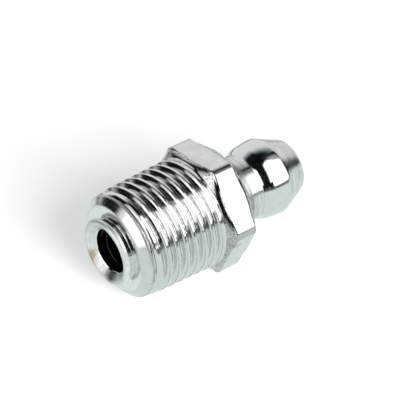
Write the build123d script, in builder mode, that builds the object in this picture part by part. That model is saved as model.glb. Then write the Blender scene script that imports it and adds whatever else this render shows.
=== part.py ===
import os
from math import cos, dist, pi, radians, sin, sqrt, tan

from build123d import *

# Grease nipple with a taper thread, lying on one flat of its hexagon.
# Millimetres. +X runs along the axis from the thread end to the head, +Z is up.
# The origin is on the axis, in the plane of the rolled lip at the thread end.

# lip: the collar rolled inwards to a mouth that holds the spring
lip_crest_r = 2.62
lip_depth = 0.52
mouth_r = 1.95
mouth_depth = 0.95
mouth_flare = 0.33
collar_r = 2.90
collar_len = 0.77

# shoulder and taper thread, drawn at its crests
shoulder_front_r = 3.55
shoulder_rear_r = 4.60
shoulder_angle = 50.0
shoulder_rounding = 0.45
lead_in_len = 1.40
thread_r0 = 4.715
thread_taper = 1 / 32
shank_len = 9.07

# hexagon, turned at the corners and chamfered on both faces
hex_af = 10.33
hex_width = 3.23
corner_cut = 0.15
rear_face_inset = 0.29
hex_chamfer_angle = 35.0

# neck and head
neck_r = 3.04
neck_len = 2.80
neck_sweep_r = 0.72
neck_sweep_len = 0.87
flare_len = 0.77
dome_r = 3.38
dome_len = 1.77
dome_bulge = 0.043
head_r = 3.58
nose_len = 2.58
nose_angle = 22.5
nose_rounding = 0.31

# bore
wall_at_lip = 0.68
chamber_inset = 0.15
seat_angle = 45.0
seat_land = 0.05
inlet_chamfer = 0.20

# check ball and spring
ball_r = 1.50
ball_room = 0.30
ball_recess = 0.30
ball_gap = 0.02
wire_r = 0.20
spring_clear = 0.04
end_coil_gap = 0.05
active_turns = 5
spring_tip_r = 1.10
points_per_turn = 8
wire_sides = 6

shoulder_rear_x = collar_len + (shoulder_rear_r - shoulder_front_r) / tan(radians(shoulder_angle))
thread_x = shoulder_rear_x + lead_in_len
hex_rear_x = shank_len + hex_width
sweep_end_x = hex_rear_x + neck_sweep_len
sweep_top_r = neck_r + neck_sweep_r
flare_x = hex_rear_x + neck_len
dome_x = flare_x + flare_len
head_x = dome_x + dome_len
nose_x = head_x + nose_len
nose_r = head_r - nose_len * tan(radians(nose_angle))


def thread_r(x):
    return thread_r0 + x * thread_taper


def point_towards(start, end, distance):
    share = distance / dist(start, end)
    return tuple(a + (b - a) * share for a, b in zip(start, end))


# the shoulder and the nose are rounded by a curve about each corner
shoulder_front = (collar_len, shoulder_front_r)
shoulder_corner = (shoulder_rear_x, shoulder_rear_r)
thread_start = (thread_x, thread_r(thread_x))
shoulder_curve_start = point_towards(shoulder_corner, shoulder_front, shoulder_rounding)
shoulder_curve_end = point_towards(shoulder_corner, thread_start, shoulder_rounding)
nose_corner = (nose_x, nose_r)
nose_curve_start = point_towards(nose_corner, (head_x, head_r), nose_rounding)
nose_curve_end = (nose_x, nose_r - nose_rounding)

chamfer_slope = tan(radians(hex_chamfer_angle))
corner_r = hex_af / 2 / cos(radians(30)) - corner_cut
rear_face_r = hex_af / 2 - rear_face_inset
corner_front_x = shank_len + (corner_r - thread_r(shank_len)) * chamfer_slope
corner_rear_x = hex_rear_x - (corner_r - rear_face_r) * chamfer_slope

# the ball stands behind the nose face and rests on the seat cone
chamber_r = collar_r - wall_at_lip
chamber_end_x = hex_rear_x - chamber_inset
head_bore_r = ball_r + ball_room
seat_slope = tan(radians(seat_angle))
ball_x = nose_x - ball_recess - ball_r
touch_x = ball_x + (ball_r + ball_gap) * sin(radians(seat_angle))
touch_r = (ball_r + ball_gap) * cos(radians(seat_angle))
inlet_r = touch_r - seat_land
seat_front_x = touch_x + seat_land / seat_slope
seat_rear_x = touch_x - (head_bore_r - touch_r) / seat_slope

with BuildPart() as body:
    # hexagon with a flat underneath
    with BuildSketch(Plane.YZ.offset(shank_len)):
        RegularPolygon(radius=hex_af / 2, side_count=6, major_radius=False)
    extrude(amount=hex_width)
    # turned corners and the chamfer on each face
    with BuildSketch(Plane.XY):
        with BuildLine():
            Polyline(
                (shank_len, 0),
                (shank_len, thread_r(shank_len)),
                (corner_front_x, corner_r),
                (corner_rear_x, corner_r),
                (hex_rear_x, rear_face_r),
                (hex_rear_x, 0),
                close=True,
            )
        make_face()
    revolve(axis=Axis.X, mode=Mode.INTERSECT)

    # lip, collar, shoulder and thread
    with BuildSketch(Plane.XY):
        with BuildLine():
            Line((mouth_depth, 0), (mouth_depth, mouth_r))
            Bezier((mouth_depth, mouth_r), (0, lip_crest_r - mouth_flare), (0, lip_crest_r))
            Bezier((0, lip_crest_r), (0, collar_r), (lip_depth, collar_r))
            Polyline(
                (lip_depth, collar_r),
                (collar_len, collar_r),
                shoulder_front,
                shoulder_curve_start,
            )
            Bezier(shoulder_curve_start, shoulder_corner, shoulder_curve_end)
            Polyline(
                shoulder_curve_end,
                thread_start,
                (shank_len, thread_r(shank_len)),
                (shank_len, 0),
                (mouth_depth, 0),
            )
        make_face()
    revolve(axis=Axis.X)

    # neck, flared head and nose
    with BuildSketch(Plane.XY):
        with BuildLine():
            Line((hex_rear_x, 0), (hex_rear_x, sweep_top_r))
            EllipticalCenterArc((sweep_end_x, sweep_top_r), neck_sweep_len, neck_sweep_r, 180, arc_size=90)
            Polyline(
                (sweep_end_x, neck_r),
                (flare_x, neck_r),
                (dome_x, dome_r),
            )
            ThreePointArc(
                (dome_x, dome_r),
                ((dome_x + head_x) / 2, (dome_r + head_r) / 2 + dome_bulge),
                (head_x, head_r),
            )
            Line((head_x, head_r), nose_curve_start)
            Bezier(nose_curve_start, nose_corner, nose_curve_end)
            Polyline(nose_curve_end, (nose_x, 0), (hex_rear_x, 0))
        make_face()
    revolve(axis=Axis.X)

    # bore: opening, spring chamber, head bore, ball seat and inlet
    with BuildSketch(Plane.XY):
        with BuildLine():
            Polyline(
                (0, 0),
                (0, mouth_r),
                (mouth_depth, mouth_r),
                (mouth_depth + chamber_r - mouth_r, chamber_r),
                (chamber_end_x, chamber_r),
                (chamber_end_x + chamber_r - head_bore_r, head_bore_r),
                (seat_rear_x, head_bore_r),
                (seat_front_x, inlet_r),
                (nose_x - inlet_chamfer, inlet_r),
                (nose_x, inlet_r + inlet_chamfer),
                (nose_x, 0),
                close=True,
            )
        make_face()
    revolve(axis=Axis.X, mode=Mode.SUBTRACT)

with BuildPart() as check_ball:
    with Locations((ball_x, 0, 0)):
        Sphere(ball_r)

# spring: a closed coil behind the lip, then a taper to a closed coil on the ball
wire_reach = wire_r + spring_clear
spring_big_r = chamber_r - wire_reach
spring_start_x = mouth_depth + spring_big_r - mouth_r + wire_reach * sqrt(2)
spring_end_x = ball_x - sqrt((ball_r + wire_reach) ** 2 - spring_tip_r**2)
end_pitch = 2 * wire_r + end_coil_gap
active_pitch = (spring_end_x - spring_start_x - 2 * end_pitch) / active_turns
total_turns = active_turns + 2


def coil_point(turn):
    if turn < 1:
        x = spring_start_x + end_pitch * turn
    elif turn < total_turns - 1:
        x = spring_start_x + end_pitch + active_pitch * (turn - 1)
    else:
        x = spring_end_x - end_pitch * (total_turns - turn)
    share = min(max((turn - 1) / active_turns, 0), 1)
    r = spring_big_r + (spring_tip_r - spring_big_r) * share
    return (x, r * cos(2 * pi * turn), r * sin(2 * pi * turn))


with BuildPart() as spring:
    with BuildLine():
        coil = Spline([coil_point(i / points_per_turn) for i in range(total_turns * points_per_turn + 1)])
    with BuildSketch(Plane(origin=coil @ 0, z_dir=coil % 0)):
        RegularPolygon(radius=wire_r, side_count=wire_sides)
    sweep(path=coil, is_frenet=True)

body.part.label = "body"
check_ball.part.label = "check_ball"
spring.part.label = "spring"

os.makedirs("parts", exist_ok=True)
export_step(body.part, "parts/body.step")
export_step(check_ball.part, "parts/check_ball.step")
export_step(spring.part, "parts/spring.step")
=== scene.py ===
from math import atan2, ceil, cos, hypot, pi, radians, sin, sqrt, tan

import bmesh
import bpy
from mathutils import Matrix, Vector, noise


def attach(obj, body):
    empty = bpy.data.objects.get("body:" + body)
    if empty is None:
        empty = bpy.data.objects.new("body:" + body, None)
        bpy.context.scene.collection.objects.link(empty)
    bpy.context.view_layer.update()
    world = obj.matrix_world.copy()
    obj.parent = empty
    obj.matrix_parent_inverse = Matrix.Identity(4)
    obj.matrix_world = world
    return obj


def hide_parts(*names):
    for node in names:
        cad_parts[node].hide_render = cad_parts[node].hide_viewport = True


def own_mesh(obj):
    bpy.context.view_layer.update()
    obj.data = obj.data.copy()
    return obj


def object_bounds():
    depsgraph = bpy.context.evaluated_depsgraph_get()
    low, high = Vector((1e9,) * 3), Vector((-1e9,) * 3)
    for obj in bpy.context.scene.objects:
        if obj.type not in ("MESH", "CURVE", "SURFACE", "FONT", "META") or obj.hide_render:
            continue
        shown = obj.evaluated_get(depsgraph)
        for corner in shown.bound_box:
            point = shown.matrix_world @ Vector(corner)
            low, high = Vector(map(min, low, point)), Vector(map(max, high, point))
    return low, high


# Grease nipple: a turned and threaded body, a check ball and a coil spring.
# The shapes are drawn in millimetres along X and scaled to metres when they are finished.

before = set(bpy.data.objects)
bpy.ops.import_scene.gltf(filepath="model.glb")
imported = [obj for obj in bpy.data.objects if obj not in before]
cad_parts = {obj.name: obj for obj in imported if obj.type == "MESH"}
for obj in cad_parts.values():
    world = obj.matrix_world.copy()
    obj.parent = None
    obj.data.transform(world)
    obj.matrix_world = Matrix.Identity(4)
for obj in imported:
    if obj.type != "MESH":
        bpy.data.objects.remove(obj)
cadLow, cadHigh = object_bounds()
mm = 0.001
print("frame loaded")


def lerpPoint(a, b, t):
    return (a[0] + (b[0] - a[0]) * t, a[1] + (b[1] - a[1]) * t)


def towards(start, end, distance):
    return lerpPoint(start, end, distance / hypot(end[0] - start[0], end[1] - start[1]))


def bezierPoints(start, control, end, count):
    shares = [i / count for i in range(count + 1)]
    return [lerpPoint(lerpPoint(start, control, t), lerpPoint(control, end, t), t) for t in shares]


def controlThrough(start, middle, end):
    # the control point that takes a curve through this middle point
    return (2 * middle[0] - (start[0] + end[0]) / 2, 2 * middle[1] - (start[1] + end[1]) / 2)


def roundedCorner(before, corner, after, size, count):
    # a soft curve round a corner, from one straight to the next
    return bezierPoints(towards(corner, before, size), corner, towards(corner, after, size), count)


def arcPoints(centre, radii, start, end, count):
    angles = [radians(start + (end - start) * i / count) for i in range(count + 1)]
    return [(centre[0] + radii[0] * cos(a), centre[1] + radii[1] * sin(a)) for a in angles]


def withSteps(points, longest):
    # straight runs divided so that none is longer than this
    result = [points[0]]
    for a, b in zip(points, points[1:]):
        count = max(1, ceil(hypot(b[0] - a[0], b[1] - a[1]) / longest))
        result += [lerpPoint(a, b, i / count) for i in range(1, count + 1)]
    return result


def extend(points, target, longest):
    # a straight run from the last point, divided in the same way
    points += withSteps([points[-1], target], longest)[1:]


def drawOutline(bm, points):
    verts = [bm.verts.new((x, r, 0)) for x, r in points]
    edges = [bm.edges.new(pair) for pair in zip(verts, verts[1:])]
    return verts + edges


def spinSector(outline, columns, share, advance):
    # a share of a full turn, as a mesh of its own, because one long spin takes minutes
    sector = bmesh.new()
    bmesh.ops.spin(
        sector, geom=drawOutline(sector, outline), cent=(0, 0, 0), axis=(1, 0, 0),
        dvec=(advance / columns, 0, 0), angle=2 * pi * share, steps=round(columns * share),
        use_merge=False, use_duplicate=False,
    )
    return sector


def addCopies(bm, sector, moves):
    mesh = bpy.data.meshes.new("sector")
    sector.to_mesh(mesh)
    sector.free()
    for move in moves:
        known = len(bm.verts)
        bm.from_mesh(mesh)
        bm.verts.ensure_lookup_table()
        bmesh.ops.transform(bm, matrix=move, verts=bm.verts[known:])
    bpy.data.meshes.remove(mesh)


def smoothShare(low, high, value):
    t = min(max((value - low) / (high - low), 0), 1)
    return t * t * (3 - 2 * t)


def softLower(a, b, size):
    # the lower of two heights, with the corner between them rounded
    share = max(size - abs(a - b), 0) / size
    return min(a, b) - share * share * size / 4


def finishPiece(bm, name, bodyName, nodeName, materials):
    bmesh.ops.transform(bm, matrix=Matrix.Scale(mm, 4), verts=bm.verts)
    bmesh.ops.recalc_face_normals(bm, faces=bm.faces)
    mesh = bpy.data.meshes.new(name)
    for face in bm.faces:
        face.smooth = True
    bm.to_mesh(mesh)
    bm.free()
    for material in materials:
        mesh.materials.append(material)
    piece = bpy.data.objects.new(name, mesh)
    bpy.context.scene.collection.objects.link(piece)
    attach(piece, bodyName)
    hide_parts(nodeName)
    print(name, "finished,", len(mesh.polygons), "faces")
    return piece


def newMaterial(name):
    material = bpy.data.materials.new(name)
    material.use_nodes = True
    return material, material.node_tree, material.node_tree.nodes["Principled BSDF"]


def wire(tree, kind, sockets, **settings):
    # a node with its settings and its inputs, given as numbers or as other nodes' outputs
    node = tree.nodes.new(kind)
    for name, value in settings.items():
        setattr(node, name, value)
    for name, value in sockets.items():
        if isinstance(value, bpy.types.NodeSocket):
            tree.links.new(value, node.inputs[name])
        else:
            node.inputs[name].default_value = value
    return node.outputs


def fromTo(tree, value, low, high, bottom, top):
    sockets = {"Value": value, "From Min": low, "From Max": high, "To Min": bottom, "To Max": top}
    return wire(tree, "ShaderNodeMapRange", sockets, interpolation_type="SMOOTHSTEP")[0]


def maths(tree, operation, *values):
    return wire(tree, "ShaderNodeMath", dict(enumerate(values)), operation=operation)[0]


def vector(tree, operation, *values, **sockets):
    return wire(tree, "ShaderNodeVectorMath", {**dict(enumerate(values)), **sockets}, operation=operation)


def axes(tree, value):
    return wire(tree, "ShaderNodeSeparateXYZ", {0: value})


def noiseOf(tree, place, scale, detail, noise_dimensions="3D", **sockets):
    sockets = {"Vector": place, "Scale": scale, "Detail": detail, "Roughness": 0.6, **sockets}
    return wire(tree, "ShaderNodeTexNoise", sockets, noise_dimensions=noise_dimensions)[0]


def mixed(tree, share, a, b):
    return wire(tree, "ShaderNodeMix", {"Factor": share, "A": a, "B": b})[0]


def blend(tree, share, a, b):
    # a mix node has an A and a B for each kind of value, so its colours go by number
    return wire(tree, "ShaderNodeMix", {"Factor": share, 6: a, 7: b}, data_type="RGBA")[2]


def bump(tree, height, depth, **below):
    # the depth is in hundredths of a millimetre
    sockets = {"Height": height, "Distance": depth * mm / 100, "Strength": 1, **below}
    return wire(tree, "ShaderNodeBump", sockets)[0]


def objectPoint(tree):
    # the place on the piece, in millimetres
    position = wire(tree, "ShaderNodeTexCoord", {})["Object"]
    return vector(tree, "SCALE", position, Scale=1 / mm)[0]


# body: everything but the thread is one outline spun round the axis
body = {
    "columns": 300,
    "bead": (0.46, 2.69, 0.31),      # the rolled lip: middle of its roll, and the roll's radius
    "beadArc": (62, 225),    # where the roll begins behind and ends in the mouth, in degrees
    "beadFoot": 0.5,         # how far behind its middle the roll ends, as a share of its radius
    "mouth": 1.92,
    "mouthDepth": 0.73,
    "mouthLength": 0.22,
    "collar": 2.80,
    "collarEnd": 0.77,
    "undercut": 0.30,        # the step behind the lip stands this much further back
    "stepRounding": 0.04,
    "shoulderFront": 3.55,
    "shoulderRear": 4.60,
    "shoulderAngle": 50,
    "shoulderRounding": 0.12,
    "leadIn": 1.40,
    "crestStart": 4.715,     # crest radius where the taper would meet the lip
    "taper": 1 / 32,
    "shankLength": 9.07,
    "acrossFlats": 10.33,
    "hexWidth": 3.23,
    "cornerCut": 0.15,
    "rearInset": 0.29,
    "chamferAngle": 35,
    "pressedFrom": 4.7,      # what lies nearer the axis isn't pressed flat
    "chamferEdge": 0.66,     # softness where a flat meets the chamfers
    "flatEdge": 0.04,        # softness where a flat meets a turned corner
    "neck": 3.04,
    "neckLength": 2.80,
    "neckSweep": (0.87, 0.72),
    "flare": 0.77,
    "domeStart": 3.38,
    "domeLength": 1.77,
    "domeBulge": 0.043,
    "head": 3.58,
    "noseLength": 2.58,
    "noseAngle": 22.5,
    "noseRounding": 0.31,
    "chamber": 2.22,
    "chamberStart": 1.22,
    "chamberEnd": 12.15,
    "headBore": 1.80,
    "seatRear": 18.77,
    "seatFront": 19.545,
    "inlet": 1.025,
    "inletChamfer": 0.20,
    "weld": 0.0006,          # points nearer each other than this become one
    # longest straight step of the mesh, part by part
    "steps": {
        "shoulder": 0.2, "mouth": 0.08, "chamber": 1.6, "headBore": 3.2, "nose": 0.35, "neck": 0.26,
        "hexFace": 0.3, "chamfer": 0.09, "flat": 0.16,
    },
}

# what follows from these sizes: places along the axis, and the radius of the turned corners
shoulderRun = (body["shoulderRear"] - body["shoulderFront"]) / tan(radians(body["shoulderAngle"]))
shoulderX = body["collarEnd"] + shoulderRun
hexRearX = body["shankLength"] + body["hexWidth"]
flareX = hexRearX + body["neckLength"]
domeX = flareX + body["flare"]
headX = domeX + body["domeLength"]
noseX = headX + body["noseLength"]
cornerRadius = body["acrossFlats"] / 2 / cos(radians(30)) - body["cornerCut"]

thread = {
    "pitch": 0.907,
    "depth": 0.45,
    "crestWidth": 0.22,
    "flankAngle": 27.5,
    "rootDip": 0.03,         # the root is slightly deeper in its middle
    "rounding": 0.022,
    "crestAt": 2.15,         # where a crest crosses the line at phase degrees
    "phase": 50.7,
    "startAt": 1.69,
    "startSnap": 0.015,      # what is nearer the start than this joins it
    "fadeIn": 0.10,
    "fadeOut": 0.70,
}

# painted shade in the thread's root and a painted dark line along its crests, measured from the root or
# the crest
threadShade = {
    "colour": (0.09, 0.075, 0.05, 1),
    "root": (0.020, 0.008, 0.6),     # height where it starts, height where it is full, strength
    "crest": (0.04, 0.005, 0.03, 0.75),  # depth of its line, half widths full and faded, strength
    "crestFrom": (2.5, 3.1),         # along the axis
    "gaps": (4, 0.36, 0.56, 0.25),   # noise size, its range, what is left in a gap
}

# zinc plating: one recipe, with its own values for each zone of the body
plating = {
    "colour": (0.68, 0.69, 0.685, 1),
    "metal": 1,
    "roughness": 0.12,
    "leastRoughness": 0.04,
    "turned": True,          # marks run round the axis, otherwise along it
    "marks": 7,              # marks per millimetre
    "roundStretch": 2.5,     # how fast turned marks change round the axis
    "longStretch": 0.35,     # how fast the others change along it
    "markDepth": 0.6,        # hundredths of a millimetre
    "markRoughness": 0.10,
    "markRange": (0.3, 0.7),
    "streaks": 0,            # how dark the marks are
    "streakRange": (0.42, 0.62),
    "streakColour": (0.02, 0.022, 0.02, 1),
    "mottle": 0.08,          # how far the colour wanders
    "mottleSize": 2.2,
    "mottleRange": (0.35, 0.65),
    "grain": 0.4,            # hundredths of a millimetre
    "grainSize": 11,
    "pits": 0.66,            # higher leaves fewer pits
    "pitSize": 6.5,
    "pitEdge": 0.05,
    "pitColour": (0.07, 0.075, 0.07, 1),
    "pitRoughness": 0.4,
    "threadShaded": False,
    "stains": [],            # centre, radius, strength, colour
    "stainSize": 3,
    "stainEdge": (0.7, 1.4),
}


def awayFromAxis(tree, point):
    return vector(tree, "MULTIPLY", point, (0, 1, 1))[0]


def markNoise(tree, v, point):
    # fine marks of the tool, drawn out round the axis or along it
    if not v["turned"]:
        drawn = vector(tree, "MULTIPLY", point, (v["longStretch"], v["marks"], v["marks"]))[0]
        return noiseOf(tree, drawn, scale=1, detail=3)
    away = awayFromAxis(tree, point)
    around = axes(tree, vector(tree, "NORMALIZE", away)[0])
    place = {
        "X": maths(tree, "MULTIPLY", axes(tree, point)["X"], v["marks"]),
        "Y": maths(tree, "MULTIPLY", vector(tree, "LENGTH", away)["Value"], v["marks"]),
        "Z": maths(tree, "MULTIPLY", around["Y"], v["roundStretch"]),
    }
    turning = wire(tree, "ShaderNodeCombineXYZ", place)[0]
    other = maths(tree, "MULTIPLY", around["Z"], v["roundStretch"])
    return noiseOf(tree, turning, scale=1, detail=3, noise_dimensions="4D", W=other)


def paintThreadShade(tree, colour, point):
    # painted shade in the root of the thread and a painted dark line along its crests
    along = axes(tree, point)["X"]
    radius = vector(tree, "LENGTH", awayFromAxis(tree, point))["Value"]
    taper = maths(tree, "MULTIPLY_ADD", along, body["taper"], body["crestStart"])
    depth = maths(tree, "SUBTRACT", taper, radius)
    start, full, strength = threadShade["root"]
    root = fromTo(tree, depth, thread["depth"] - start, thread["depth"] - full, 0, strength)
    line, full, faded, strength = threadShade["crest"]
    crest = maths(tree, "ABSOLUTE", maths(tree, "SUBTRACT", depth, line))
    crest = fromTo(tree, crest, full, faded, strength, 0)
    crest = maths(tree, "MULTIPLY", crest, fromTo(tree, along, *threadShade["crestFrom"], 0, 1))
    size, low, high, left = threadShade["gaps"]
    broken = fromTo(tree, noiseOf(tree, point, size, detail=3), low, high, left, 1)
    share = maths(tree, "MULTIPLY", maths(tree, "MAXIMUM", root, crest), broken)
    return blend(tree, share, colour, threadShade["colour"])


def addStain(tree, colour, point, v, stain):
    centre, size, strength, tint = stain
    reach = vector(tree, "DISTANCE", point, centre)["Value"]
    ragged = noiseOf(tree, point, v["stainSize"], detail=4)
    ragged = maths(tree, "MULTIPLY_ADD", ragged, size, reach)
    full, faded = v["stainEdge"]
    return blend(tree, fromTo(tree, ragged, size * full, size * faded, strength, 0), colour, tint)


def plate(name, **changes):
    v = {**plating, **changes}
    material, tree, shader = newMaterial(name)
    point = objectPoint(tree)
    marks = markNoise(tree, v, point)
    mottle = noiseOf(tree, point, v["mottleSize"], detail=4)
    grain = noiseOf(tree, point, v["grainSize"], detail=2)
    pits = noiseOf(tree, point, v["pitSize"], detail=2)
    pits = fromTo(tree, pits, v["pits"], v["pits"] + v["pitEdge"], 0, 1)

    dull = tuple(c * (1 - 2 * v["mottle"]) for c in v["colour"][:3]) + (1,)
    wander = fromTo(tree, mottle, *v["mottleRange"], 0, 1)
    colour = blend(tree, wander, v["colour"], dull)
    if v["streaks"]:
        share = fromTo(tree, marks, *v["streakRange"], 0, v["streaks"])
        colour = blend(tree, share, colour, v["streakColour"])
    if v["threadShaded"]:
        colour = paintThreadShade(tree, colour, point)
    for stain in v["stains"]:
        colour = addStain(tree, colour, point, v, stain)
    colour = blend(tree, pits, colour, v["pitColour"])
    tree.links.new(colour, shader.inputs["Base Color"])
    shader.inputs["Metallic"].default_value = v["metal"]

    spread = v["markRoughness"] / 2
    lowest, highest = max(v["roughness"] - spread, v["leastRoughness"]), v["roughness"] + spread
    streaked = fromTo(tree, marks, *v["markRange"], lowest, highest)
    rough = maths(tree, "MULTIPLY_ADD", wander, spread, streaked)
    rough = maths(tree, "MULTIPLY_ADD", pits, v["pitRoughness"], rough)
    tree.links.new(rough, shader.inputs["Roughness"])
    normal = bump(tree, marks, v["markDepth"])
    normal = bump(tree, grain, v["grain"], Normal=normal)
    tree.links.new(normal, shader.inputs["Normal"])
    return material


brown = (0.30, 0.22, 0.13, 1)
soot = (0.10, 0.10, 0.095, 1)
zoneFinish = {
    # the bore and the mouth are painted near black: painted shade inside the hole
    "bore": {"colour": (0.02, 0.018, 0.016, 1), "roughness": 0.5, "markRoughness": 0.2},
    "lip": {
        "colour": (0.70, 0.72, 0.71, 1), "metal": 0.86, "roughness": 0.38, "markRoughness": 0.16,
        "mottle": 0.07, "pits": 0.68,
        "stains": [((0.25, 2.22, -1.44), 1.05, 0.85, brown), ((0.45, -0.27, -2.23), 0.95, 0.85, soot)],
    },
    # the step is painted lighter than the other zinc: a painted highlight on the face behind the lip
    "step": {"colour": (0.80, 0.81, 0.805, 1), "roughness": 0.08, "markRoughness": 0.06, "mottle": 0.04},
    "shoulder": {"roughness": 0.14, "marks": 5, "markDepth": 0.5, "mottle": 0.02, "pits": 0.72},
    "leadIn": {"roughness": 0.34, "marks": 6, "mottle": 0.03, "pits": 0.70},
    # the thread carries painted shade in its root and a painted dark line on its crests
    "thread": {
        "roughness": 0.08, "markRoughness": 0.06, "marks": 9, "markDepth": 0.3, "mottle": 0.02,
        "threadShaded": True, "pits": 0.72,
    },
    "chamfer": {
        "roughness": 0.28, "mottle": 0.12, "pits": 0.61,
        "stains": [((9.4, -5.3, -0.6), 1.1, 0.6, brown)],
    },
    "flat": {
        "roughness": 0.20, "turned": False, "marks": 3, "mottle": 0.04, "mottleSize": 1.4, "pits": 0.72,
        "stains": [((9.9, -5.2, -1.1), 0.9, 0.45, brown)],
    },
    # painted darker: a painted dark reflection along the rounded edges where the flats meet the chamfers
    "edge": {"colour": (0.52, 0.53, 0.525, 1), "roughness": 0.11, "mottle": 0.10, "pits": 0.60},
    # painted darker: a painted dark reflection on the turned corners between the flats
    "corner": {
        "colour": (0.50, 0.52, 0.51, 1), "roughness": 0.07, "turned": False, "marks": 3, "mottle": 0.04,
        "markRoughness": 0.05, "pits": 0.76,
    },
    # painted darker: painted shade in the hollow where the neck sweeps into the hexagon
    "sweep": {
        "colour": (0.46, 0.48, 0.465, 1), "roughness": 0.28, "marks": 9, "markDepth": 0.9, "mottle": 0.06,
        "streaks": 0.3,
    },
    "neck": {
        "roughness": 0.13, "marks": 9, "markDepth": 0.9, "mottle": 0.02, "pits": 0.76, "streaks": 0.3,
    },
    "flare": {
        "roughness": 0.07, "marks": 4, "markDepth": 0.9, "markRoughness": 0.06, "mottle": 0.02,
        "pits": 0.76,
    },
    "head": {
        "roughness": 0.05, "marks": 4, "markDepth": 0.3, "markRoughness": 0.03, "mottle": 0.02,
        "pits": 0.76,
    },
    "nose": {"roughness": 0.13, "marks": 9, "mottle": 0.02, "pits": 0.74, "streaks": 0.25},
}

# where one zone ends and the next begins
zoneLimits = {
    "mouthEnd": 1.0,
    "mouthEdge": 0.02,
    "boreFrom": 0.9,
    "boreRadius": 2.3,
    "stepDepth": 0.02,
    "stepEdge": 0.05,
    "shoulderEdge": 0.08,
    "leadInEnd": 0.12,
    "hexDepth": 0.01,
    "hexRadius": 4.5,
    "chamferSlope": 0.78,    # lengthwise part of the face's normal
    "edgeSlope": 0.08,
    "cornerEdge": 0.03,
    "sweepLength": 1.6,
}

# the zones that follow each other along the axis, up to the nose
zoneEnds = {
    "shoulder": shoulderX - zoneLimits["shoulderEdge"],
    "leadIn": thread["startAt"] + zoneLimits["leadInEnd"],
    "thread": body["shankLength"],
    "sweep": hexRearX + zoneLimits["sweepLength"],
    "neck": flareX,
    "flare": domeX,
    "head": headX,
}


def crestRadius(x):
    return body["crestStart"] + x * body["taper"]


def shankRadius(x):
    # crests are cut back by the lead-in near the shoulder
    slope = (crestRadius(shoulderX + body["leadIn"]) - body["shoulderRear"]) / body["leadIn"]
    return min(crestRadius(x), body["shoulderRear"] + (x - shoulderX) * slope)


def frontOutline():
    # from the thread's first ring over the shoulder and the lip into the bore
    b, steps = body, body["steps"]
    start = (thread["startAt"], shankRadius(thread["startAt"]))
    corner = (shoulderX, b["shoulderRear"])
    stepX = b["collarEnd"] + b["undercut"]
    front = (stepX, b["shoulderFront"] + b["undercut"] * tan(radians(b["shoulderAngle"])))
    foot = (stepX, b["collar"])
    beadX, beadR, size = b["bead"]
    behind = (beadX + size * b["beadFoot"], b["collar"])
    points = [start]
    points += roundedCorner(start, corner, front, b["shoulderRounding"], count=5)
    points += roundedCorner(corner, front, foot, b["shoulderRounding"], count=4)
    points += roundedCorner(front, foot, behind, b["stepRounding"], count=3)
    points = withSteps(points + [behind], steps["shoulder"])
    points += arcPoints((beadX, beadR), (size, size), *b["beadArc"], count=22)
    mouth = (b["mouthDepth"], b["mouth"])
    mouthEnd = (mouth[0] + b["mouthLength"], mouth[1])
    return points[:-1] + withSteps([points[-1], mouth, mouthEnd], steps["mouth"])


def boreOutline():
    # from the spring's chamber through the head bore and the seat to the inlet
    b, steps = body, body["steps"]
    points = [(b["chamberStart"], b["chamber"])]
    extend(points, (b["chamberEnd"], b["chamber"]), steps["chamber"])
    points += [(b["chamberEnd"] + b["chamber"] - b["headBore"], b["headBore"])]
    extend(points, (b["seatRear"], b["headBore"]), steps["headBore"])
    return points + [
        (b["seatFront"], b["inlet"]),
        (noseX - b["inletChamfer"], b["inlet"]),
        (noseX, b["inlet"] + b["inletChamfer"]),
    ]


def rearOutline():
    # from the nose back over the head, the neck and the hexagon to the thread's last ring
    b, steps = body, body["steps"]
    head = (headX, b["head"])
    nose = (noseX, b["head"] - b["noseLength"] * tan(radians(b["noseAngle"])))
    points = roundedCorner((noseX, 0), nose, head, b["noseRounding"], count=7)
    points = withSteps([(noseX, b["inlet"] + b["inletChamfer"])] + points, steps["nose"])[1:]
    extend(points, head, steps["nose"])
    dome = (domeX, b["domeStart"])
    domeMiddle = ((domeX + headX) / 2, (b["domeStart"] + b["head"]) / 2 + b["domeBulge"])
    points += bezierPoints(head, controlThrough(head, domeMiddle, dome), dome, count=12)[1:]
    sweepLength, sweepRise = b["neckSweep"]
    sweepX = hexRearX + sweepLength
    extend(points, (flareX, b["neck"]), steps["neck"])
    extend(points, (sweepX, b["neck"]), steps["neck"])
    points += arcPoints((sweepX, b["neck"] + sweepRise), b["neckSweep"], start=270, end=180, count=10)[1:]
    # the hexagon as a turned blank, chamfered on both faces
    rearRadius = b["acrossFlats"] / 2 - b["rearInset"]
    shankEnd = (b["shankLength"], crestRadius(b["shankLength"]))
    slope = tan(radians(b["chamferAngle"]))
    extend(points, (hexRearX, rearRadius), steps["hexFace"])
    extend(points, (hexRearX - (cornerRadius - rearRadius) * slope, cornerRadius), steps["chamfer"])
    extend(points, (shankEnd[0] + (cornerRadius - shankEnd[1]) * slope, cornerRadius), steps["flat"])
    extend(points, shankEnd, steps["chamfer"])
    return points


def pressFlats(bm):
    # six flats pressed into the turned blank, with a soft edge where each one ends
    b = body
    margin, side = 1e-4, radians(60)
    for vert in bm.verts:
        radius = hypot(vert.co.y, vert.co.z)
        onHex = b["shankLength"] + margin < vert.co.x < hexRearX - margin
        if not onHex or radius < b["pressedFrom"]:
            continue
        toFlat = (atan2(vert.co.z, vert.co.y) - side / 2) % side
        toFlat = min(toFlat, side - toFlat)
        flat = b["acrossFlats"] / 2 / cos(toFlat)
        edge = b["flatEdge"] if radius > cornerRadius - margin else b["chamferEdge"]
        share = softLower(radius, flat, edge) / radius
        vert.co.y *= share
        vert.co.z *= share


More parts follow.
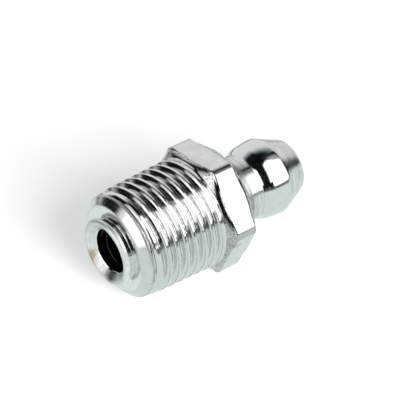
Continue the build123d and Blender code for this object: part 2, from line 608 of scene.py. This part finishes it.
def threadOutline():
    # one pitch from root to root, as distance along the axis and depth below the crest
    t = thread
    flankRun = t["depth"] * tan(radians(t["flankAngle"]))
    halfRoot = (t["pitch"] - 2 * flankRun - t["crestWidth"]) / 2
    root, foot = (0, t["depth"]), (halfRoot, t["depth"] - t["rootDip"])
    edge, crest = (halfRoot + flankRun, 0), (t["pitch"] / 2, 0)
    half = [root]
    half += roundedCorner(root, foot, edge, t["rounding"], count=2)
    half += roundedCorner(foot, edge, crest, t["rounding"], count=2)
    half += [crest]
    return half + [(t["pitch"] - x, depth) for x, depth in reversed(half[:-1])]


def cutThread(bm):
    # a strip one pitch wide, spun for one turn of the helix and repeated until it covers the shank
    b, t = body, thread
    first = t["startAt"] - 2 * t["pitch"]
    first += (t["crestAt"] - t["pitch"] / 2 - t["phase"] / 360 * t["pitch"] - first) % t["pitch"]
    turns = ceil((b["shankLength"] - first) / t["pitch"]) + 1
    outline = [(first + x, b["crestStart"] - depth) for x, depth in threadOutline()]
    strip = spinSector(outline, b["columns"], share=1, advance=t["pitch"])
    known = len(bm.verts)
    addCopies(bm, strip, [Matrix.Translation((i * t["pitch"], 0, 0)) for i in range(turns)])
    bm.verts.ensure_lookup_table()
    # what lies past either end is folded back onto it, and the radius follows the taper
    step = 2 * pi / b["columns"]
    for vert in bm.verts[known:]:
        angle = round(atan2(vert.co.z, vert.co.y) / step) * step
        depth = b["crestStart"] - hypot(vert.co.y, vert.co.z)
        x = min(vert.co.x, b["shankLength"])
        x = t["startAt"] if x < t["startAt"] + t["startSnap"] else x
        depth *= smoothShare(t["startAt"], t["startAt"] + t["fadeIn"], x)
        depth *= smoothShare(b["shankLength"], b["shankLength"] - t["fadeOut"], x)
        radius = min(shankRadius(x), crestRadius(x) - depth)
        vert.co = (x, radius * cos(angle), radius * sin(angle))


wear = {
    "lip": 0.03,             # how far the surface wanders
    "thread": 0.012,
    "lengthwise": 0.5,       # share of it along the axis
    "detail": 2.6,           # bumps per millimetre
    "lipDepth": 1.0,
    "lipRadii": (1.8, 2.2, 2.7),     # from here, full up to here, faded here
    "threadInside": 3,       # the bore under the thread stays smooth
    "threadMargin": 0.02,
}


def roughenEdges(bm):
    # small unevenness of the rolled lip and of the thread's crests
    inner, full, outer = wear["lipRadii"]
    threadFrom = thread["startAt"] + wear["threadMargin"]
    threadTo = body["shankLength"] - wear["threadMargin"]
    elsewhere = Vector((7, 3, 5))    # a second noise, read from another place
    for vert in bm.verts:
        x, radius = vert.co.x, hypot(vert.co.y, vert.co.z)
        if x < wear["lipDepth"] and inner < radius < outer:
            share = smoothShare(outer, full, radius) * wear["lip"]
        elif threadFrom < x < threadTo and radius > wear["threadInside"]:
            share = wear["thread"]
        else:
            continue
        push = noise.noise(vert.co * wear["detail"]) * share
        vert.co.y *= 1 + push / radius
        vert.co.z *= 1 + push / radius
        vert.co.x += noise.noise(vert.co * wear["detail"] + elsewhere) * share * wear["lengthwise"]


def hexZone(face, radius):
    slope = abs(face.normal.x)
    if slope > zoneLimits["chamferSlope"]:
        return "chamfer"
    if slope > zoneLimits["edgeSlope"]:
        return "edge"
    return "corner" if radius > cornerRadius - zoneLimits["cornerEdge"] else "flat"


def zoneOf(face):
    b, limits = body, zoneLimits
    centre = face.calc_center_median()
    x, radius = centre.x, hypot(centre.y, centre.z)
    inMouth = b["mouthDepth"] < x < limits["mouthEnd"] and radius < b["mouth"] + limits["mouthEdge"]
    if inMouth or (limits["boreFrom"] < x < b["seatFront"] and radius < limits["boreRadius"]):
        return "bore"
    beadX, beadR, size = b["bead"]
    if x < beadX + size * b["beadFoot"] and radius > b["mouth"]:
        return "lip"
    stepRadius = b["shoulderFront"] + b["undercut"] - limits["stepEdge"]
    if x < b["collarEnd"] + b["undercut"] + limits["stepDepth"] and radius < stepRadius:
        return "step"
    if b["shankLength"] <= x < hexRearX + limits["hexDepth"] and radius > limits["hexRadius"]:
        return hexZone(face, radius)
    return next((zone for zone, end in zoneEnds.items() if x < end), "nose")


def buildBody():
    outline = frontOutline() + boreOutline() + rearOutline()
    sector = spinSector(outline, body["columns"], share=1 / 6, advance=0)
    pressFlats(sector)
    bm = bmesh.new()
    addCopies(bm, sector, [Matrix.Rotation(radians(60 * i), 4, "X") for i in range(6)])
    cutThread(bm)
    bmesh.ops.remove_doubles(bm, verts=bm.verts, dist=body["weld"])
    bmesh.ops.dissolve_degenerate(bm, edges=bm.edges, dist=body["weld"])
    openEdges = [edge for edge in bm.edges if len(edge.link_faces) != 2]
    triangles = sum(len(face.verts) - 2 for face in bm.faces)
    print("body threaded,", triangles, "triangles,", len(openEdges), "open edges")
    roughenEdges(bm)
    bm.normal_update()
    zones = list(zoneFinish)
    for face in bm.faces:
        face.material_index = zones.index(zoneOf(face))
    materials = [plate("zinc" + zone.capitalize(), **zoneFinish[zone]) for zone in zones]
    return finishPiece(bm, "turnedBody", "body", "body", materials)


buildBody()

# check ball: it rests on the seat behind the nose
ball = {
    "radius": 1.50,
    "recess": 0.30,          # how far it lies behind the face of the nose
    "subdivisions": 5,
    "finish": {"colour": (0.72, 0.72, 0.73, 1), "turned": False, "marks": 1},
}


def buildBall():
    bm = bmesh.new()
    bmesh.ops.create_icosphere(bm, subdivisions=ball["subdivisions"], radius=ball["radius"])
    bmesh.ops.translate(bm, verts=bm.verts, vec=(noseX - ball["recess"] - ball["radius"], 0, 0))
    materials = [plate("ballSteel", **ball["finish"])]
    return finishPiece(bm, "checkBall", "ball", "check_ball", materials)


buildBall()

# spring: a closed coil behind the lip, then a taper to a closed coil on the ball
coil = {
    "wire": 0.20,
    "clearance": 0.04,       # between the wire and the chamber
    "tipRadius": 1.10,
    "end": 17.06,
    "endPitch": 0.45,
    "activeTurns": 5,
    "pointsPerTurn": 28,
    "wireRoundness": 3,
    # the spring is painted near black: painted shade on it inside the bore
    "finish": {
        "colour": (0.022, 0.017, 0.012, 1), "roughness": 0.16, "turned": False, "markRoughness": 0.05,
    },
}


def coilPoint(turn):
    c = coil
    total = c["activeTurns"] + 2
    reach = c["wire"] + c["clearance"]
    bigRadius = body["chamber"] - reach
    start = body["chamberStart"] + reach * (sqrt(2) - 1)
    activePitch = (c["end"] - start - 2 * c["endPitch"]) / c["activeTurns"]
    if turn < 1:
        x = start + c["endPitch"] * turn
    elif turn < total - 1:
        x = start + c["endPitch"] + activePitch * (turn - 1)
    else:
        x = c["end"] - c["endPitch"] * (total - turn)
    share = min(max((turn - 1) / c["activeTurns"], 0), 1)
    r = bigRadius + (c["tipRadius"] - bigRadius) * share
    return (x * mm, r * cos(2 * pi * turn) * mm, r * sin(2 * pi * turn) * mm, 1)


def buildSpring():
    c = coil
    line = bpy.data.curves.new("coilLine", "CURVE")
    line.dimensions = "3D"
    line.bevel_depth = c["wire"] * mm
    line.bevel_resolution = c["wireRoundness"]
    line.use_fill_caps = True
    count = (c["activeTurns"] + 2) * c["pointsPerTurn"]
    spline = line.splines.new("POLY")
    spline.points.add(count)
    for i in range(count + 1):
        spline.points[i].co = coilPoint(i / c["pointsPerTurn"])
    holder = bpy.data.objects.new("coilLine", line)
    mesh = bpy.data.meshes.new_from_object(holder)
    bpy.data.objects.remove(holder)
    bm = bmesh.new()
    bm.from_mesh(mesh)
    bpy.data.meshes.remove(mesh)
    bmesh.ops.remove_doubles(bm, verts=bm.verts, dist=1e-7)
    bmesh.ops.transform(bm, matrix=Matrix.Scale(1 / mm, 4), verts=bm.verts)
    materials = [plate("springShadedSteel", **c["finish"])]
    piece = finishPiece(bm, "coilSpring", "body", "spring", materials)
    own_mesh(piece)
    return piece


buildSpring()

# camera: metres and degrees
camera = {
    "location": (-0.0512502, -0.0809983, 0.0669532),
    "turn": (56.90415, 2.74104, -39.03333),
    "lens": 127.21,
    "sensor": 36,            # lens and sensor in millimetres
    "nearest": 0.005,
}


def placeCamera():
    data = bpy.data.cameras.new("camera")
    data.lens = camera["lens"]
    data.sensor_width = camera["sensor"]
    data.clip_start = camera["nearest"]
    holder = bpy.data.objects.new("camera", data)
    holder.location = camera["location"]
    holder.rotation_euler = [radians(a) for a in camera["turn"]]
    bpy.context.scene.collection.objects.link(holder)
    bpy.context.scene.camera = holder
    print("camera placed")


placeCamera()

# floor: pale paper, with plain white behind the piece and its own shine in the metal
paper = {
    "size": 0.6,             # metres
    "colour": (0.84, 0.92, 0.88, 1),
    "roughness": 0.9,
    "glow": 0.64,            # how much of it is plain white to the camera
    "mirrored": 0.9,         # how much of its shine the metal mirrors
    "shine": 0.98,
    "brightSide": 1.08,      # how much brighter it shines towards the softbox
    "softbox": (0.545, -0.839, 0),   # its direction
    "brightRange": (2, 26),  # where that starts and is full, in millimetres
    "front": (-54, 3, 0.02),     # where the paper ends, softness, what is mirrored beyond
    "back": (66, 8, 0.05),
}


def floorShine(tree):
    # the light that the metal mirrors from the paper
    p = paper
    place = objectPoint(tree)
    towardsBox = vector(tree, "DOT_PRODUCT", place, p["softbox"])["Value"]
    shine = fromTo(tree, towardsBox, *p["brightRange"], p["shine"], p["shine"] * p["brightSide"])
    across = axes(tree, place)["Y"]
    end, softness, beyond = p["front"]
    shine = maths(tree, "MULTIPLY", shine, fromTo(tree, across, end - softness, end + softness, beyond, 1))
    end, softness, beyond = p["back"]
    return maths(tree, "MULTIPLY", shine, fromTo(tree, across, end - softness, end + softness, 1, beyond))


def paintFloor():
    material, tree, shader = newMaterial("floorPaper")
    shader.inputs["Base Color"].default_value = paper["colour"]
    shader.inputs["Roughness"].default_value = paper["roughness"]
    path = wire(tree, "ShaderNodeLightPath", {})
    glow = wire(tree, "ShaderNodeEmission", {"Color": (1, 1, 1, 1), "Strength": 1})[0]
    shine = wire(tree, "ShaderNodeEmission", {"Color": paper["colour"], "Strength": floorShine(tree)})[0]
    share = maths(tree, "MULTIPLY", path["Is Camera Ray"], paper["glow"])
    plain = wire(tree, "ShaderNodeMixShader", {"Fac": share, 1: shader.outputs[0], 2: glow})[0]
    share = maths(tree, "MULTIPLY", path["Is Glossy Ray"], paper["mirrored"])
    both = wire(tree, "ShaderNodeMixShader", {"Fac": share, 1: plain, 2: shine})[0]
    tree.links.new(both, tree.nodes["Material Output"].inputs["Surface"])
    return material


def layFloor():
    bm = bmesh.new()
    bmesh.ops.create_grid(bm, x_segments=1, y_segments=1, size=paper["size"])
    bmesh.ops.translate(bm, verts=bm.verts, vec=(0, 0, cadLow.z))
    mesh = bpy.data.meshes.new("floor")
    bm.to_mesh(mesh)
    bm.free()
    mesh.materials.append(paintFloor())
    floor = bpy.data.objects.new("floor", mesh)
    bpy.context.scene.collection.objects.link(floor)
    print("floor laid")


layFloor()

# light: a lamp for the shadow, and a room that only the metal mirrors
studio = {
    "lamp": (-97, 24, 30, 9.4),      # azimuth, elevation, softness in degrees, strength
    "ambient": 0.15,
    "backdrop": 0.95,
    "ceiling": (57, 12, 0.006),      # from this elevation up, softness, brightness
    "darkTint": (0.72, 1, 1.08, 1),
    "tintedBelow": 0.5,
    # middle azimuth, half width, lowest and highest elevation, softness, brightness
    "patches": [
        (-122, 26, 2, 78, 4, 0.010),     # dark room behind the camera
        (-90, 14, -3, 17, 3, 0.010),     # its low corner beside the softbox
        (127, 21, 2, 80, 5, 0.012),      # dark side
        (-18, 15, -8, 26, 5, 0.02),      # gap beside the softbox
        (-8, 15, 40, 74, 4, 0.03),       # the same gap higher up
        (-60, 22, -5, 0.8, 0.6, 0.01),   # table edge under the softbox
        (-57, 21, 1.2, 20, 0.6, 2.2),    # softbox, its lower part
        (-65, 29, 17, 68, 1.5, 2.2),     # softbox
        (-27, 12, 54, 68, 3, 0.45),      # light beside its top
        (-172, 25, -4, 42, 3, 2.0),      # second softbox
    ],
}


def inDegrees(tree, angle):
    return maths(tree, "MULTIPLY", angle, 180 / pi)


def lightRoom():
    world = bpy.data.worlds.new("studio")
    world.use_nodes = True
    bpy.context.scene.world = world
    tree = world.node_tree
    direction = wire(tree, "ShaderNodeTexCoord", {})["Generated"]
    elevation = inDegrees(tree, maths(tree, "ARCSINE", axes(tree, direction)["Z"]))
    start, softness, dark = studio["ceiling"]
    room = fromTo(tree, elevation, start - softness, start + softness, studio["backdrop"], dark)
    for middle, halfWidth, low, high, softness, brightness in studio["patches"]:
        sockets = {"Vector": direction, "Angle": radians(-middle)}
        turned = axes(tree, wire(tree, "ShaderNodeVectorRotate", sockets, rotation_type="Z_AXIS")[0])
        aside = inDegrees(tree, maths(tree, "ARCTAN2", turned["Y"], turned["X"]))
        aside = maths(tree, "ABSOLUTE", aside)
        across = fromTo(tree, aside, halfWidth - softness, halfWidth + softness, 1, 0)
        above = fromTo(tree, elevation, low - softness, low + softness, 0, 1)
        below = fromTo(tree, elevation, high - softness, high + softness, 1, 0)
        share = maths(tree, "MULTIPLY", maths(tree, "MULTIPLY", across, above), below)
        room = mixed(tree, share, room, brightness)
    path = wire(tree, "ShaderNodeLightPath", {})
    seen = mixed(tree, path["Is Glossy Ray"], studio["ambient"], room)
    tint = fromTo(tree, room, 0, studio["tintedBelow"], 0, 1)
    background = tree.nodes["Background"]
    tree.links.new(seen, background.inputs["Strength"])
    tree.links.new(blend(tree, tint, studio["darkTint"], (1, 1, 1, 1)), background.inputs["Color"])


def hangLamp():
    # a broad lamp over the camera that gives the soft shadow behind the piece
    azimuth, elevation, softness, strength = studio["lamp"]
    data = bpy.data.lights.new("lamp", "SUN")
    data.energy = strength
    data.angle = radians(softness)
    lamp = bpy.data.objects.new("lamp", data)
    lamp.rotation_euler = (radians(90 - elevation), 0, radians(azimuth + 90))
    lamp.visible_glossy = False
    bpy.context.scene.collection.objects.link(lamp)


lightRoom()
hangLamp()
print("room and lamp lit")

bpy.context.scene.view_settings.view_transform = "Standard"
